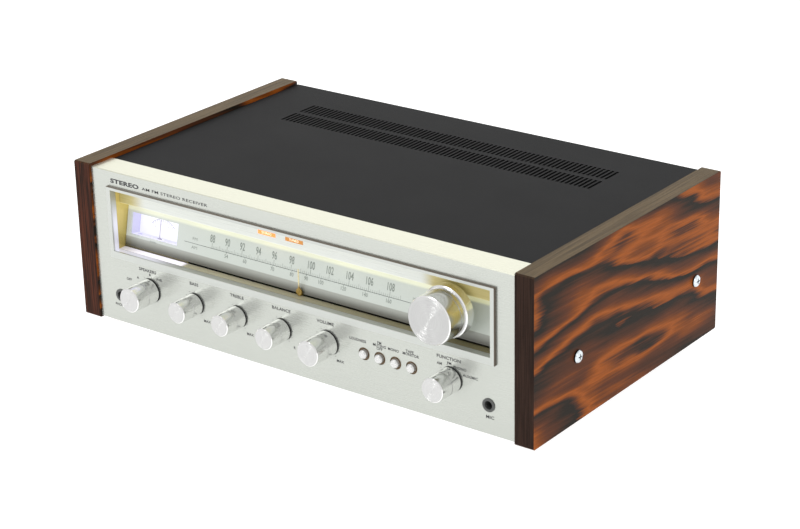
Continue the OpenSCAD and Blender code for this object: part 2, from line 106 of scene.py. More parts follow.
class ReceiverDialSettings(bpy.types.PropertyGroup):
    """Colours and sizes of the dial."""
    panel: colour("Dial plate", "Printed dial plate", (0.44, 0.475, 0.445))
    ink: colour("Dial ink", "Ink of the dial scales", (0.215, 0.245, 0.22))
    glow: colour("Lamp glow", "Warm light of the dial lamps", (1.0, 0.86, 0.42))
    meter_glow: colour("Meter glow", "Cool light of the signal meter", (0.80, 0.78, 1.0))
    gold: colour("Inner walls", "Gold tint of the dial housing", (0.62, 0.50, 0.16))
    lens: colour("Indicator", "Lit indicator lens", (1.0, 0.26, 0.03))
    numeral: FloatProperty(name="Numeral height", description="Height of the FM numerals",
                           default=0.0058, min=0.002, max=0.007, unit="LENGTH")


class ReceiverControlSettings(bpy.types.PropertyGroup):
    """Colours and sizes of knobs, buttons and front lettering."""
    metal: colour("Knob metal", "Polished aluminium of the knobs", (0.93, 0.93, 0.92))
    cap: colour("Button cap", "Push button caps", (0.66, 0.66, 0.65))
    ink: colour("Front ink", "Ink of the front lettering", (0.022, 0.022, 0.025))
    letter: FloatProperty(name="Letter height", description="Height of the front capitals",
                          default=0.0024, min=0.001, max=0.004, unit="LENGTH")


class ReceiverStageSettings(bpy.types.PropertyGroup):
    """Light and view."""
    lens: FloatProperty(name="Lens", description="Focal length of the camera in millimetres",
                        default=99.4, min=35, max=200)
    key: FloatProperty(name="Key light", description="Power of the large overhead light",
                       default=16.0, min=0, max=500, subtype="POWER")
    floor: colour("Floor", "Pale studio floor", (0.40, 0.40, 0.40))


# ---------------------------------------------------------------- shader building

class Signal:
    """A node socket that can be used in Python arithmetic."""

    def __init__(self, build, socket):
        self.build = build
        self.socket = socket

    def _math(self, operation, a, b=None):
        values = {0: a} if b is None else {0: a, 1: b}
        return self.build.node("Math", {"operation": operation}, values)

    def __add__(self, other):
        return self._math("ADD", self, other)

    __radd__ = __add__

    def __sub__(self, other):
        return self._math("SUBTRACT", self, other)

    def __rsub__(self, other):
        return self._math("SUBTRACT", other, self)

    def __mul__(self, other):
        return self._math("MULTIPLY", self, other)

    __rmul__ = __mul__

    def __truediv__(self, other):
        return self._math("DIVIDE", self, other)

    def __pow__(self, other):
        return self._math("POWER", self, other)

    def __abs__(self):
        return self._math("ABSOLUTE", self)

    def sin(self):
        return self._math("SINE", self)

    def ramp(self, low, high, out_low=0.0, out_high=1.0):
        """Smooth step from low to high."""
        return self.build.node("MapRange", {"interpolation_type": "SMOOTHSTEP"},
                               {"Value": self, "From Min": low, "From Max": high,
                                "To Min": out_low, "To Max": out_high})


class Finish:
    """Builds one procedural material."""

    def __init__(self, name, base=(0.5, 0.5, 0.5), roughness=0.5, metallic=0.0, **constants):
        self.material = bpy.data.materials.new(name)
        self.material.use_nodes = True
        self.tree = self.material.node_tree
        self.shader = self.tree.nodes["Principled BSDF"]
        self.set("Base Color", base)
        self.set("Roughness", roughness)
        self.set("Metallic", metallic)
        for key, value in constants.items():
            self.set(key.replace("_", " "), value)
        self._axes = None

    def set(self, socket, value):
        target = self.shader.inputs[socket]
        if isinstance(value, Signal):
            self.tree.links.new(value.socket, target)
        elif hasattr(value, "__len__") and len(value) == 3 and target.type == "RGBA":
            target.default_value = (*value, 1.0)
        else:
            target.default_value = value
        return self

    def node(self, kind, settings=None, values=None, out=0):
        made = self.tree.nodes.new("ShaderNode" + kind)
        for key, value in (settings or {}).items():
            if key == "stops":
                ramp = made.color_ramp
                while len(ramp.elements) < len(value):
                    ramp.elements.new(1.0)
                for stop, (place, tint) in zip(ramp.elements, value):
                    stop.position = place
                    stop.color = (*tint, 1.0)
            else:
                setattr(made, key, value)
        for key, value in (values or {}).items():
            target = made.inputs[key]
            if isinstance(value, Signal):
                self.tree.links.new(value.socket, target)
            elif hasattr(value, "__len__") and target.type == "RGBA":
                target.default_value = (*value, 1.0)
            else:
                target.default_value = value
        return Signal(self, made.outputs[out])

    def place(self):
        """Object coordinates in millimetres, as three values."""
        if self._axes is None:
            raw = self.node("TexCoord", out=3)
            big = self.node("VectorMath", {"operation": "SCALE"}, {0: raw, "Scale": 1000.0})
            self._axes = tuple(self.node("SeparateXYZ", {}, {0: big}, i) for i in range(3))
        return self._axes

    def facing(self, axis):
        """The surface normal's share along one axis of the object."""
        return self.node("SeparateXYZ", {}, {0: self.node("TexCoord", out=1)}, axis)

    def vector(self, x, y, z):
        return self.node("CombineXYZ", {}, {0: x, 1: y, 2: z})

    def noise(self, x, y, z, detail=2.0, rough=0.5):
        return self.node("TexNoise", {}, {"Vector": self.vector(x, y, z), "Scale": 1.0,
                                          "Detail": detail, "Roughness": rough})

    def grain(self, size, detail=2.0, rough=0.5):
        """Noise that is the same along every axis."""
        x, y, z = self.place()
        return self.noise(x * size, y * size, z * size, detail, rough)

    def brushed(self, along, across, rough=0.5):
        """Noise drawn out from side to side."""
        x, y, z = self.place()
        return self.noise(x * along, y * across, z * across, 3, rough)

    def up(self, low=0.4, high=0.8):
        """One where the surface faces up."""
        return self.facing(2).ramp(low, high)

    def forward(self, low=0.4, high=0.8):
        """One where the surface faces forwards."""
        return (self.facing(1) * -1.0).ramp(low, high)

    def mix(self, factor, a, b):
        return self.node("Mix", {"data_type": "RGBA"}, {0: factor, 6: a, 7: b}, 2)

    def blend(self, signal, a, b, low=0.3, high=0.7):
        """From a to b as the signal goes from low to high."""
        return self.mix(signal.ramp(low, high), a, b)

    def rough(self, signal, a, b, low=0.3, high=0.7):
        """Roughness from a to b as the signal goes from low to high."""
        return self.set("Roughness", signal.ramp(low, high, a, b))

    def bump(self, height, strength, distance=0.0001):
        self.set("Normal", self.node("Bump", {}, {"Strength": strength, "Distance": distance,
                                                  "Height": height}))
        return self

    def lean(self, push_x, push_y, push_z):
        """Tip the normal by an amount along each axis of the object."""
        tipped = self.node("VectorMath", {"operation": "ADD"}, {
            0: self.node("TexCoord", out=1), 1: self.vector(push_x, push_y, push_z)})
        world = self.node("VectorTransform", {"vector_type": "NORMAL", "convert_from": "OBJECT",
                                              "convert_to": "WORLD"}, {0: tipped})
        self.set("Normal", self.node("VectorMath", {"operation": "NORMALIZE"}, {0: world}))
        return self


def dim(tint, share):
    """A colour scaled by a share."""
    return [v * share for v in tint]


def wear(f, amount=0.06):
    """Slow patchy change of roughness."""
    return (f.grain(0.02, 3) - 0.5) * amount


def rosewood(name, c):
    """Rosewood: long lens-shaped figure outlined by dark flowing streaks."""
    f = Finish(name, roughness=0.45, Specular_IOR_Level=0.05, Coat_Roughness=0.3)
    x, y, z = f.place()
    across = z + y * 0.05
    drift = f.noise(y * 0.0048, across * 0.019, x * 0.02 + 4.3, 1, 0.4)
    wave = f.noise(y * 0.012, across * 0.045, x * 0.02 + 9.1, 2, 0.5)
    fine = f.noise(y * 0.008, across * 0.36, x * 0.3, 4, 0.72)
    hair = f.noise(y * 0.02, across * 2.2, x * 0.9, 3, 0.75)
    pore = f.noise(y * 0.20, across * 6.0, x * 2.0, 2, 0.8)
    phase = across * 0.032 + drift * 3.8 + wave * 0.8 + fine * 0.16
    tone = f.node("Math", {"operation": "FRACT"}, {0: phase})
    tone = tone + (fine - 0.5) * 0.42 + (wave - 0.5) * 0.5
    side = f.node("ValToRGB", {"stops": [
        (0.0, c.streak), (0.09, (0.075, 0.024, 0.010)), (0.19, dim(c.veneer, 0.72)),
        (0.29, c.veneer), (0.42, dim(c.veneer, 0.58)),
        (0.57, (0.095, 0.028, 0.010)), (0.78, (0.045, 0.018, 0.009)),
        (0.93, c.streak)]}, {0: tone})
    side = f.mix(hair.ramp(0.46, 0.78, 0.0, 0.5), side, (0.045, 0.017, 0.009))
    side = f.mix(pore.ramp(0.62, 0.76, 0.0, 0.4), side, c.streak)
    up = f.noise(x * 0.9, y * 0.2, z * 0.018, 4, 0.7)
    front = f.mix(x.ramp(1.0, -1.0, 0.0, 0.7), c.edge_front, (0.095, 0.026, 0.013))
    front = f.blend(up, dim(c.edge_front, 0.5), front, 0.40, 0.62)
    back = f.noise(x * 0.7, y * 0.012, z * 0.2, 4, 0.75)
    top = f.blend(back, dim(c.edge_top, 0.5), c.edge_top, 0.35, 0.65)
    tint = f.mix(f.up(0.35, 0.85), side, top)
    tint = f.mix(f.forward(0.35, 0.85), tint, front)
    f.set("Base Color", tint)
    f.rough(pore, 0.34, 0.52, 0.3, 0.8)
    f.set("Coat Weight", fine.ramp(0.2, 0.8, 0.03, 0.0))
    return f.bump(pore + fine * 0.6, 0.16, 0.0002).material


def brushed_plate(name, tint, lit_top):
    """Anodised aluminium brushed from side to side, with painted light on its top return, which
    gets a lighter, warmer colour.
    """
    f = Finish(name, tint, 0.26, 0.78)
    line = f.brushed(0.035, 7.0, 0.6)
    front = f.blend(line, dim(tint, 0.985), tint, 0.25, 0.75)
    # Painted light: upward faces take the lighter, warmer top colour.
    f.set("Base Color", f.mix(f.up(0.45, 0.85), front, lit_top))
    f.set("Roughness", line.ramp(0.2, 0.8, 0.25, 0.28) + wear(f, 0.04))
    return f.bump(line, 0.02).material


def paint(name, tint, roughness=0.45, grain=3.0, strength=0.12, shine=0.5):
    """Sprayed paint with a fine orange-peel texture."""
    f = Finish(name, tint, roughness, Specular_IOR_Level=shine)
    peel = f.grain(grain, 3, 0.55)
    f.set("Base Color", f.blend(peel, dim(tint, 0.9), tint))
    f.set("Roughness", peel.ramp(0.3, 0.7, roughness - 0.05, roughness + 0.06) + wear(f))
    return f.bump(peel, strength, 0.0002).material


def plated(name, tint, roughness=0.3):
    """Plated steel with rolling marks and faint blotches."""
    f = Finish(name, tint, roughness, 1.0)
    roll = f.brushed(0.08, 4.0, 0.6)
    spot = f.grain(0.12, 4, 0.6)
    f.set("Base Color", f.mix(spot.ramp(0.35, 0.7), dim(tint, 0.82), tint))
    f.set("Roughness", roll.ramp(0.2, 0.8, roughness - 0.06, roughness + 0.1))
    return f.bump(roll, 0.06).material


def moulded(name, tint, roughness=0.5):
    """Moulded plastic with a spark-eroded grain."""
    f = Finish(name, tint, roughness)
    grit = f.grain(2.0, 4, 0.6)
    f.set("Base Color", f.blend(grit, dim(tint, 0.86), tint))
    f.set("Roughness", grit.ramp(0.3, 0.7, roughness - 0.06, roughness + 0.08))
    return f.bump(grit, 0.08).material


def ink(name, tint, dark, light, roughness):
    """Printing ink, a little uneven."""
    f = Finish(name, tint, roughness)
    f.set("Base Color", f.blend(f.grain(1.0), dim(tint, dark), dim(tint, light)))
    return f.material


def spun(name, tint, cx, cz, share):
    """Turned aluminium: rings on the face, fine turning lines along the body; painted shade gives
    the face a darker copy of the metal colour, set by share.
    """
    f = Finish(name, tint, 0.22, 1.0)
    x, y, z = f.place()
    dx, dz = x - cx, z - cz
    r = (dx * dx + dz * dz) ** 0.5 + 0.001
    face = f.forward(0.6, 0.9)
    ring = f.noise(r * 9.0, 0.0, 0.0, 2, 0.8) - 0.5
    coil = f.noise(y * 9.0, 0.0, 0.0, 2, 0.8) - 0.5
    push = ring * face * 3.4
    turned = f.noise(r * 2.5, y * 2.5, 0.0, 2).ramp(0.3, 0.7)
    body = f.mix(turned, dim(tint, 0.92), tint)
    # Painted shade: the face gets a darker copy of the metal colour than the body, set by share.
    cap = f.mix(turned, dim(tint, share), dim(tint, share + 0.05))
    f.set("Base Color", f.mix(face, body, cap))
    f.set("Roughness", face.ramp(0.0, 1.0, 0.17, 0.20) + wear(f, 0.05))
    return f.lean(push * dx / r, coil * (1.0 - face) * 0.05, push * dz / r).material


def dial_plate(name, d):
    """Glossy dial plate, lit along its top edge, with a shaded sill at its foot."""
    f = Finish(name, d.panel, 0.42, Coat_Weight=0.55, Coat_Roughness=0.07)
    x, y, z = f.place()
    fleck = f.grain(1.5, 3)
    tint = f.blend(fleck, dim(d.panel, 0.965), d.panel)
    shade = f.mix(z.ramp(SILL_Z, SILL_TOP), (0.050, 0.048, 0.030), (0.31, 0.325, 0.29))
    above = z.ramp(SILL_TOP - 0.2, SILL_TOP + 0.4)
    f.set("Base Color", f.mix(above, shade, tint))
    f.rough(fleck, 0.36, 0.46)
    # Painted glow: above the sill the plate glows faintly, warmer and brighter along its lit top
    # edge, and cooler towards its left end, where the meter's light is painted.
    near = f.noise(x * 0.02, z * 0.02, y * 0.02, 2)
    lit = z.ramp(*PLATE_HEAD) * near.ramp(0.2, 0.8, 0.8, 1.0)
    side = x.ramp(-80.0, -172.0) * z.ramp(*PLATE_FOOT, 0.1, 1.0)
    base = f.mix(above, BLACK, (0.17, 0.19, 0.165))
    warm = f.mix(lit, base, (0.78, 0.76, 0.40))
    f.set("Emission Color", f.mix(side * 0.16, warm, d.meter_glow))
    f.set("Emission Strength", 0.5)
    return f.bump(fleck, 0.04).material


def lit_frame(name, tint, d):
    """Silver frame; painted shadow darkens its outer top and right walls and edges, and its left
    end carries a painted glow of the meter's cool light.
    """
    f = Finish(name, tint, 0.30, 0.55)
    x, y, z = f.place()
    right, _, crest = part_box("bezel")[1] / MM
    line = f.brushed(0.05, 5.0)
    silver = f.blend(line, dim(tint, 0.94), tint, 0.25, 0.75)
    # Painted shadow: the outer top and right walls, and a thin strip of the front along them, are
    # coloured dark brown as the shadow gap round the frame.
    top = f.up() * z.ramp(crest - 1.0, crest - 0.6)
    end = f.facing(0).ramp(0.4, 0.8) * x.ramp(right - 1.0, right - 0.6)
    rim = f.forward() * (z.ramp(crest - 0.6, crest - 0.5) + x.ramp(right - 0.6, right - 0.5))
    edge = top + end + rim
    f.set("Base Color", f.mix(edge, silver, (0.085, 0.064, 0.044)))
    f.set("Metallic", edge.ramp(0.0, 1.0, 0.55, 0.0))
    f.rough(line, 0.28, 0.40, 0.2, 0.8)
    # Painted glow: the meter's cool light on the frame's left end, stronger lower down.
    near = x.ramp(-112.0, -150.0) * y.ramp(FACE_Y - 1.4, FACE_Y + 0.2)
    f.set("Emission Color", f.mix(near * z.ramp(120.0, 90.0), BLACK, d.meter_glow))
    f.set("Emission Strength", 0.5)
    return f.bump(line, 0.06).material


def gold_box(name, d):
    """Gold walls and a cream floor, with painted light: the floor is painted lighter and cool in
    front of the meter, the walls carry a painted warm glow, and low forward faces carry painted
    shade.
    """
    f = Finish(name, d.gold, 0.30, 0.35)
    x, _, z = f.place()
    line = f.brushed(0.05, 5.0)
    floor_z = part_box("bezel")[0].z / MM + 5.6
    floor = f.up() * z.ramp(floor_z + 1.6, floor_z + 0.6)
    # Painted light: the floor's colour is lighter towards the meter at its left end.
    cream = f.mix(x.ramp(-110.0, 165.0), (0.50, 0.48, 0.36), (0.21, 0.19, 0.105))
    wall = f.blend(line, dim(d.gold, 0.9), d.gold, 0.25, 0.75)
    # Painted shade: forward faces low in the housing, under the floor's edge, are coloured near
    # black.
    stop = f.forward() * z.ramp(floor_z + 3.0, floor_z + 2.6)
    f.set("Base Color", f.mix(stop, f.mix(floor, wall, cream), (0.07, 0.062, 0.032)))
    f.set("Metallic", floor.ramp(0.0, 1.0, 0.45, 0.05))
    f.rough(line, 0.24, 0.36, 0.2, 0.8)
    # Painted glow: the walls glow warm, more so higher up, and the floor takes the meter's cool
    # light near its left end.
    cool = x.ramp(-111.0, -116.0) * x.ramp(-182.0, -150.0, 0.35, 1.0)
    high = f.mix(z.ramp(84.0, 118.0, 0.05, 0.7), BLACK, (0.27, 0.22, 0.08))
    f.set("Emission Color", f.mix(floor, high, f.mix(cool, (0.01, 0.01, 0.007), d.meter_glow)))
    f.set("Emission Strength", 0.9)
    return f.bump(line, 0.06).material


# ---------------------------------------------------------------- making pieces

def dress(material, *nodes):
    """Give CAD pieces a finish."""
    for node in nodes:
        piece = frame["nodes"][node]
        piece.data.materials.clear()
        piece.data.materials.append(material)


def soften(width, *nodes):
    """Round the sharp edges of CAD pieces with a modifier."""
    for node in nodes:
        bevel = frame["nodes"][node].modifiers.new("Edges", "BEVEL")
        bevel.width = width
        bevel.segments = 2
        bevel.limit_method = "ANGLE"
        bevel.angle_limit = math.radians(50)
        bevel.harden_normals = True


def solid(name, bm, material, body, node, smooth=False):
    """Make a new piece that rides on a body; the CAD node's finish slot is looked up but not
    given to it.
    """
    mesh = finish_mesh(bm, name, smooth)
    mesh.materials.append(material)
    piece = bpy.data.objects.new(name, mesh)
    bpy.context.scene.collection.objects.link(piece)
    slot = slot_of(node)
    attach(piece, body)


def slot_of(node):
    """Finish slot of a CAD node, from the record."""
    for entry in frame["record"]["subparts"]:
        if entry["node"] == node:
            return entry["material_slot"]
    raise RuntimeError("no slot for " + node)


def front_at(depth):
    """Placer for flat work on a plane facing forwards."""
    return lambda u, v, w: Vector((u, depth - w, v)) * MM


def leaning_at(depth):
    """Placer for flat work on the leaning dial plate; v runs up the plate."""
    return lambda u, v, w: Vector((
        u, PLATE_Y + (depth - w) * math.cos(TILT) + v * math.sin(TILT),
        PLATE_Z - (depth - w) * math.sin(TILT) + v * math.cos(TILT))) * MM


def rear_at(depth):
    """Placer for flat work facing backwards; u runs to the right as seen from there."""
    return lambda u, v, w: Vector((-u, depth + w, v)) * MM


def about(x, y, z):
    """Placer round a point; w runs backwards."""
    return lambda u, v, w: Vector((x + u, y + w, z + v)) * MM


def raised(place, height):
    """The same placer, moved along w."""
    return lambda u, v, w: place(u, v, height + w)


def add_box(bm, place, u0, u1, v0, v1, thick=0.06):
    """Thin block on a placer's plane."""
    corners = [place(u, v, w) for w in (0.0, thick) for u, v in
               ((u0, v0), (u1, v0), (u1, v1), (u0, v1))]
    verts = [bm.verts.new(c) for c in corners]
    for loop in ((0, 1, 2, 3), (7, 6, 5, 4), (0, 4, 5, 1), (1, 5, 6, 2), (2, 6, 7, 3),
                 (3, 7, 4, 0)):
        bm.faces.new([verts[i] for i in loop])


def add_words(bm, place, text, u, v, height, squeeze=1.0, align="CENTER", bold=0.0):
    """Flat lettering with the built-in face; v is its middle."""
    curve = bpy.data.curves.new("words", "FONT")
    curve.body = text
    curve.size = height / CAPITAL
    curve.offset = height * bold
    curve.align_x = align
    curve.align_y = "CENTER"
    curve.resolution_u = 3
    curve.space_character = 1.05
    holder = bpy.data.objects.new("words", curve)
    mesh = bpy.data.meshes.new_from_object(holder)
    bpy.data.objects.remove(holder)
    bpy.data.curves.remove(curve)
    start = len(bm.verts)
    bm.from_mesh(mesh)
    bpy.data.meshes.remove(mesh)
    bm.verts.ensure_lookup_table()
    for vert in bm.verts[start:]:
        vert.co = place(u + vert.co.x * squeeze, v + vert.co.y, INK)


def add_turned(bm, profile, place, steps=48, caps=True):
    """Revolve a profile of (radius, height) points about a placer's axis."""
    rings = [[bm.verts.new(place(r * math.cos(math.tau * i / steps),
                                 r * math.sin(math.tau * i / steps), h))
              for i in range(steps)] for r, h in profile]
    for a, b in zip(rings, rings[1:]):
        for i in range(steps):
            j = (i + 1) % steps
            bm.faces.new((a[i], a[j], b[j], b[i]))
    if caps:
        bm.faces.new(rings[-1])
        bm.faces.new(list(reversed(rings[0])))


def finish_mesh(bm, name, smooth=False):
    """Turn the built faces into a mesh, with sharp edges kept if it is smooth."""
    bmesh.ops.recalc_face_normals(bm, faces=bm.faces)
    mesh = bpy.data.meshes.new(name)
    bm.to_mesh(mesh)
    bm.free()
    if smooth:
        for face in mesh.polygons:
            face.use_smooth = True
        mesh.set_sharp_from_angle(angle=math.radians(35))
    return mesh


class Maker:
    """Shared parts of every operator."""
    bl_options = {"REGISTER"}

    def execute(self, context):
        self.make(context.scene)
        return {"FINISHED"}


# ---------------------------------------------------------------- cabinet

class RECEIVER_OT_wood_panels(Maker, bpy.types.Operator):
    """Rosewood veneer on both side panels and zinc on their screws, with painted shade in the
    screws' recesses
    """
    bl_idname = "receiver.wood_panels"
    bl_label = "Wood panels"

    def make(self, scene):
        c = scene.receiver_cabinet
        dress(rosewood("rosewood_veneer", c), "panel_left", "panel_right")
        soften(0.0006, "panel_left", "panel_right")
        f = Finish("zinc_plate", (0.72, 0.77, 0.80), 0.26, 1.0)
        x, _, _ = f.place()
        spot = f.grain(0.6, 3)
        zinc = f.blend(spot, (0.62, 0.67, 0.70), (0.76, 0.81, 0.84))
        # Painted shade: the cross recess and the foot of each head's rim, nearer the panel than
        # 216 mm, are coloured near black.
        head = abs(x).ramp(216.0, 216.3)
        f.set("Base Color", f.mix(head, (0.05, 0.055, 0.06), zinc))
        f.rough(spot, 0.20, 0.34)
        dress(f.bump(spot, 0.05).material, "panel_screws")


class RECEIVER_OT_faceplate(Maker, bpy.types.Operator):
    """Brushed faceplate and the raised frame round the dial"""
    bl_idname = "receiver.faceplate"
    bl_label = "Faceplate"

    def make(self, scene):
        c = scene.receiver_cabinet
        dress(brushed_plate("satin_anodised", c.plate, c.lit_top), "faceplate")
        soften(0.0004, "faceplate")
        dress(lit_frame("silver_frame", (0.52, 0.54, 0.51), scene.receiver_dial), "bezel")
        soften(0.00025, "bezel")


class RECEIVER_OT_case(Maker, bpy.types.Operator):
    """Cover, rear panel, chassis and feet"""
    bl_idname = "receiver.case"
    bl_label = "Case"

    def make(self, scene):
        c = scene.receiver_cabinet
        dress(paint("black_cover_paint", c.cover, 0.52, 2.4, 0.10, 0.06), "top_cover")
        dress(paint("rear_panel_paint", (0.040, 0.041, 0.043), 0.5, 2.0, 0.14), "rear_panel")
        soften(c.edge_round, "rear_panel")
        dress(plated("chassis_plate", (0.60, 0.60, 0.57), 0.34), "chassis", "subchassis")
        f = Finish("foot_rubber", (0.018, 0.018, 0.018), 0.7)
        dust = f.grain(0.5, 4)
        f.set("Base Color", f.mix(dust.ramp(0.45, 0.75), (0.016, 0.016, 0.016),
                                  (0.05, 0.048, 0.045)))
        f.rough(dust, 0.6, 0.8)
        dress(f.bump(dust, 0.2, 0.0003).material, "feet")
        soften(0.0005, "feet")


class RECEIVER_OT_case_screws(Maker, bpy.types.Operator):
    """Black screws that hold the cover and the rear panel"""
    bl_idname = "receiver.case_screws"
    bl_label = "Case screws"

    def make(self, scene):
        bm = bmesh.new()
        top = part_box("top_cover")[1] / MM
        lower, upper = 24, 112      # heights of the rear panel's screws
        spots = [(x, top.y, top.z - 8.5) for x in (-185, -62, 62, 185)]
        spots += [(x, REAR_Y, z) for x in (-190, 190) for z in (lower, upper)]
        spots += [(x, REAR_Y, lower) for x in (-60, 60)]
        for spot in spots:
            at = about(*spot)
            add_turned(bm, [(3.1, -0.02), (3.1, 0.7), (2.5, 1.4), (1.3, 1.7)], at, 28)
            for u, v in ((1.7, 0.35), (0.35, 1.7)):     # the two bars of the cross
                add_box(bm, raised(at, 1.62), -u, u, -v, v, 0.12)
        solid("case_screws", bm, plated("black_zinc", (0.09, 0.09, 0.09), 0.34), "cabinet",
              "top_cover", True)


# ---------------------------------------------------------------- dial

class RECEIVER_OT_dial(Maker, bpy.types.Operator):
    """Dial plate, housing, header, lenses, lamps, rail and pointer"""
    bl_idname = "receiver.dial"
    bl_label = "Dial"

    def make(self, scene):
        d = scene.receiver_dial
        dress(dial_plate("dial_print", d), "dial_panel")
        dress(gold_box("gold_walls", d), "dial_housing")
        f = Finish("header_strip", (0.56, 0.58, 0.55), 0.36, 0.1)
        x, _, z = f.place()
        line = f.brushed(0.05, 4.0)
        gold_ends = x.ramp(-150.0, -168.0) + x.ramp(112.0, 126.0)
        plain = f.blend(line, (0.53, 0.55, 0.52), (0.57, 0.59, 0.56))
        f.set("Base Color", f.mix(gold_ends, plain, (0.42, 0.36, 0.15)))
        f.rough(line, 0.26, 0.36)
        # Painted glow: the strip glows faintly, dimmer and warmer at its gold ends, and its
        # bottom edge carries the lamps' warm light.
        f.set("Emission Strength", 0.42)
        glow = f.mix(gold_ends, (0.24, 0.25, 0.23), (0.12, 0.10, 0.03))
        f.set("Emission Color", f.mix(z.ramp(112.2, 111.0), glow, (0.70, 0.68, 0.42)))
        dress(f.bump(line, 0.05).material, "dial_header")
        for node, power, tint, body in (
                ("stereo_lens", 0.85, d.lens, (0.80, 0.17, 0.03)),
                ("tuned_lens", 0.34, (1.0, 0.42, 0.05), (0.34, 0.13, 0.02))):
            g = Finish(node + "_glow", body, 0.25)
            x, y, z = g.place()
            ribs = g.noise(x * 1.2, y * 0.5, z * 0.6, 2)
            g.set("Emission Color", g.mix(ribs.ramp(0.42, 0.72), tint, (1.0, 0.42, 0.14)))
            g.set("Emission Strength", power)
            g.rough(ribs, 0.2, 0.34)
            dress(g.material, node)
        g = Finish("lamp_glass", (1.0, 0.93, 0.74), 0.1, Emission_Strength=1.2)
        x, y, z = g.place()
        coil = g.noise(x * 2.0, y * 0.3, z * 0.3, 2)
        g.set("Emission Color", g.mix(coil.ramp(0.4, 0.7), (1.0, 0.80, 0.45), (1.0, 0.95, 0.8)))
        dress(g.material, "dial_lamps")
        dress(plated("reflector_tin", (0.72, 0.72, 0.68), 0.22), "lamp_strip",
              "pulley_studs", "pointer_rail")
        g = Finish("pointer_gold", (0.50, 0.34, 0.09), 0.3, 0.3, Emission_Strength=0.3)
        x, y, z = g.place()
        sheen = g.noise(x * 2.0, y * 2.0, z * 0.6, 3)
        foot = g.blend(sheen, (0.24, 0.15, 0.03), (0.36, 0.24, 0.06))
        # Painted light and shade: the pointer's foot, in the sill's shade, is darker, and its
        # stem above is lighter and glows with the lamps' light.
        lit_stem = z.ramp(*PLATE_FOOT)
        g.set("Base Color", g.mix(lit_stem, foot, (0.46, 0.41, 0.25)))
        g.set("Emission Color", g.mix(lit_stem, (0.05, 0.03, 0.0), (0.75, 0.68, 0.42)))
        g.rough(sheen, 0.22, 0.36)
        dress(g.material, "pointer")


class RECEIVER_OT_dial_scale(Maker, bpy.types.Operator):
    """Printed FM and AM scales with their ticks, and the indicator captions"""
    bl_idname = "receiver.dial_scale"
    bl_label = "Dial scale"

    def make(self, scene):
        d = scene.receiver_dial
        fm = (-89.8, -74.8, -60.0, -44.2, -28.6, -11.9, 6.4, 24.0, 42.5, 60.6, 79.9)
        am = (("54", -75.1), ("60", -56.7), ("70", -29.5), ("80", -10.8), ("90", 3.0),
              ("100", 16.7), ("120", 37.8), ("140", 57.8), ("160", 79.3))
        fm_row, am_row, band_row = 17.2, 6.7, 13.4      # middles of the words, up the plate
        bm = bmesh.new()
        at = leaning_at(-0.02)

        def tick(u, low, high, half):
            add_box(bm, at, u - half, u + half, low, high)

        def fm_tick(u, k):
            tick(u, SCALE_LINE, SCALE_LINE + (3.2 if k == 5 else 1.9), 0.09)

        for i, x in enumerate(fm):
            add_words(bm, at, str(88 + 2 * i), x, fm_row, d.numeral / MM, 0.58, bold=0.03)
            tick(x, SCALE_LINE, 14.1, 0.16)
            for k in range(1, 10) if i else ():
                fm_tick(x - (x - fm[i - 1]) * k / 10, k)
        for k in range(1, 6):
            fm_tick(fm[-1] + 1.9 * k, k)
        for i, (text, x) in enumerate(am):
            add_words(bm, at, text, x, am_row, 2.9, 0.85, bold=0.02)
            tick(x, 8.5, 9.8, 0.16)
            for k in range(1, 5) if i else ():
                tick(x - (x - am[i - 1][1]) * k / 5, 9.1, 9.8, 0.08)
        add_words(bm, at, "FM", -107.3, band_row, 2.5, 1.15)
        add_words(bm, at, "AM", -107.3, am_row, 2.5, 1.15)
        add_words(bm, at, "MHz", 103.0, band_row, 1.9)
        add_words(bm, at, "x10 kHz", 103.0, 6.9, 1.9)
        add_words(bm, at, "SIGNAL", centre("meter_body")[0], 2.0, 1.2, 1.1)
        solid("dial_scale", bm, ink("dial_ink", d.ink, 0.8, 1.2, 0.6), "cabinet", "dial_panel")
        bm = bmesh.new()
        add_box(bm, at, -118.0, 114.0, SCALE_LINE - 0.28, SCALE_LINE + 0.02)
        solid("dial_line", bm, paint("line_ink", (0.035, 0.045, 0.04), 0.6), "cabinet",
              "dial_panel")
        bm = bmesh.new()
        lens_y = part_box("stereo_lens")[0].y / MM
        for node, text in (("stereo_lens", "STEREO"), ("tuned_lens", "TUNED")):
            mid = centre(node)
            add_words(bm, front_at(lens_y), text, mid[0], mid[2], 1.7, 1.1)
        g = Finish("lens_caption", (1.0, 0.9, 0.75), 0.5, Emission_Strength=0.8)
        g.set("Emission Color", g.blend(g.grain(1.0), (1.0, 0.78, 0.5), (1.0, 0.86, 0.62)))
        solid("lens_captions", bm, g.material, "cabinet", "stereo_lens")


